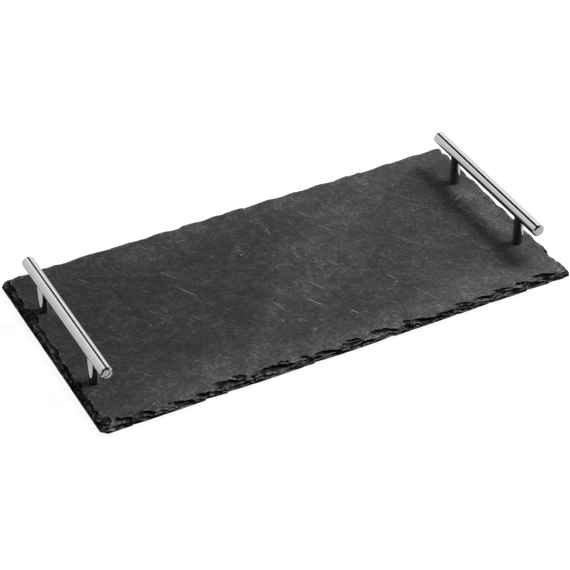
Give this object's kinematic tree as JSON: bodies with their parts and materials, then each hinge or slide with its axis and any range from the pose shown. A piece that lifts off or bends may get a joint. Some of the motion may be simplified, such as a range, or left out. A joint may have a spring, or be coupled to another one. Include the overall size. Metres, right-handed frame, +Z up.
{
  "type": "slate serving board",
  "caption": "Rectangular slate serving board with split, chipped edges, a tubular steel handle on two posts at each end, and rubber feet.",
  "frame": {"origin": "centre of the footprint, on the surface the feet stand on", "axes": "+X along the long side, towards the right-hand handle; +Y along the handles, away from the near side; +Z up"},
  "size_m": [0.4, 0.2, 0.0425],
  "materials": {
    "slate": "matt, naturally split slate",
    "brushed_tube": "satin, brushed round the tube",
    "turned_cap": "satin, turned face",
    "polished_post": "bright, finely polished",
    "plated_fastener": "bright zinc plating",
    "rubber_foot": "matt black rubber"
  },
  "bodies": {
    "root": {"slate_board": "slate", "left_handle_tube": "brushed_tube", "right_handle_tube": "brushed_tube", "left_front_end_cap": "turned_cap", "left_rear_end_cap": "turned_cap", "right_front_end_cap": "turned_cap", "right_rear_end_cap": "turned_cap", "left_front_post": "polished_post", "left_rear_post": "polished_post", "right_front_post": "polished_post", "right_rear_post": "polished_post", "left_tube_anchors": "plated_fastener", "right_tube_anchors": "plated_fastener", "left_post_studs": "plated_fastener", "right_post_studs": "plated_fastener", "left_handle_screws": "plated_fastener", "right_handle_screws": "plated_fastener", "left_screw_washers": "plated_fastener", "right_screw_washers": "plated_fastener", "left_front_foot": "rubber_foot", "left_rear_foot": "rubber_foot", "right_front_foot": "rubber_foot", "right_rear_foot": "rubber_foot"}
  },
  "joints": []
}
